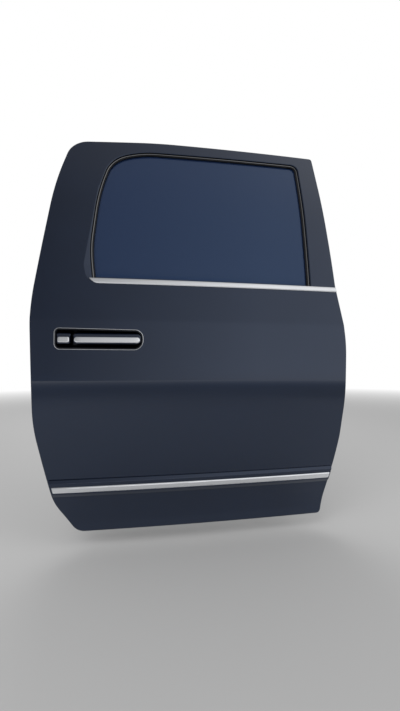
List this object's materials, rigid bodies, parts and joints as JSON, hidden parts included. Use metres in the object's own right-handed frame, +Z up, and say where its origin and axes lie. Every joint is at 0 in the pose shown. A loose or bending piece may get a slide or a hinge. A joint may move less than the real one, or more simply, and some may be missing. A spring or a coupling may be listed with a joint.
{
  "type": "pickup truck rear door",
  "caption": "Right-hand rear side door of a crew-cab pickup truck with framed window, outside handle, latch, trim, hinges and door check.",
  "frame": {"origin": "centre of the lower hinge's two pillar bolts, on the face of its pad that lies against the pillar", "axes": "+X to the front of the vehicle, +Y inboard into the pillar, +Z up along the hinge line"},
  "size_m": [1.0019, 0.2471, 1.2769],
  "materials": {
    "body_paint": "gloss black clear-coated paint",
    "inner_paint": "gloss black paint, a little duller than outside",
    "privacy_glass": "dark privacy tint",
    "seal_rubber": "matt black",
    "bright_trim": "polished",
    "handle_chrome": "polished",
    "hinge_steel": "satin body colour",
    "bare_steel": "zinc plated",
    "latch_steel": "zinc plated",
    "trim_plastic": "moulded with a fine grain",
    "trim_soft_plastic": "soft skin with a leather grain",
    "trim_vinyl": "grained vinyl with a sewn edge",
    "switch_plastic": "fine satin",
    "grille_plastic": "perforated"
  },
  "bodies": {
    "pillar_side": {"hinge_lower_pillar_leaf": "hinge_steel", "hinge_upper_pillar_leaf": "hinge_steel", "check_bracket": "bare_steel"},
    "door": {"outer_skin": "body_paint", "inner_panel": "inner_paint", "window_glass": "privacy_glass", "glass_run": "seal_rubber", "belt_moulding": "bright_trim", "belt_seal_outer": "seal_rubber", "belt_seal_inner": "seal_rubber", "side_moulding": "body_paint", "side_moulding_bright": "bright_trim", "handle_pocket": "body_paint", "handle_grip": "body_paint", "handle_cap": "body_paint", "handle_grip_strip": "handle_chrome", "handle_cap_strip": "handle_chrome", "hinge_lower_door_leaf": "hinge_steel", "hinge_lower_pin": "bare_steel", "hinge_upper_door_leaf": "hinge_steel", "hinge_upper_pin": "bare_steel", "check_plate": "bare_steel", "wiring_grommet": "seal_rubber", "latch": "latch_steel", "door_weatherstrip": "seal_rubber", "trim_lower": "trim_plastic", "trim_upper": "trim_soft_plastic", "trim_insert": "trim_vinyl", "armrest_base": "trim_plastic", "armrest_pad": "trim_vinyl", "pull_cup": "trim_plastic", "switch_plate": "switch_plastic", "window_switch": "switch_plastic", "release_bezel": "switch_plastic", "release_lever": "handle_chrome", "map_pocket": "trim_plastic", "speaker_grille": "grille_plastic", "lock_knob": "switch_plastic"},
    "check_arm": {"check_arm": "bare_steel"}
  },
  "joints": [
    {"name": "door_swing", "type": "hinge", "parent": "pillar_side", "child": "door", "pos_m": [-0.025, -0.048, 0], "axis": [0, 0, 1], "range_deg": [0, 70]},
    {"name": "check_swing", "type": "hinge", "parent": "pillar_side", "child": "check_arm", "pos_m": [-0.009, -0.018, 0.15], "axis": [0, 0, 1], "range_deg": [0, 36.2]}
  ],
  "couplings": [
    {"joint": "check_swing", "follows": "door_swing", "ratio": 0.5146}
  ]
}
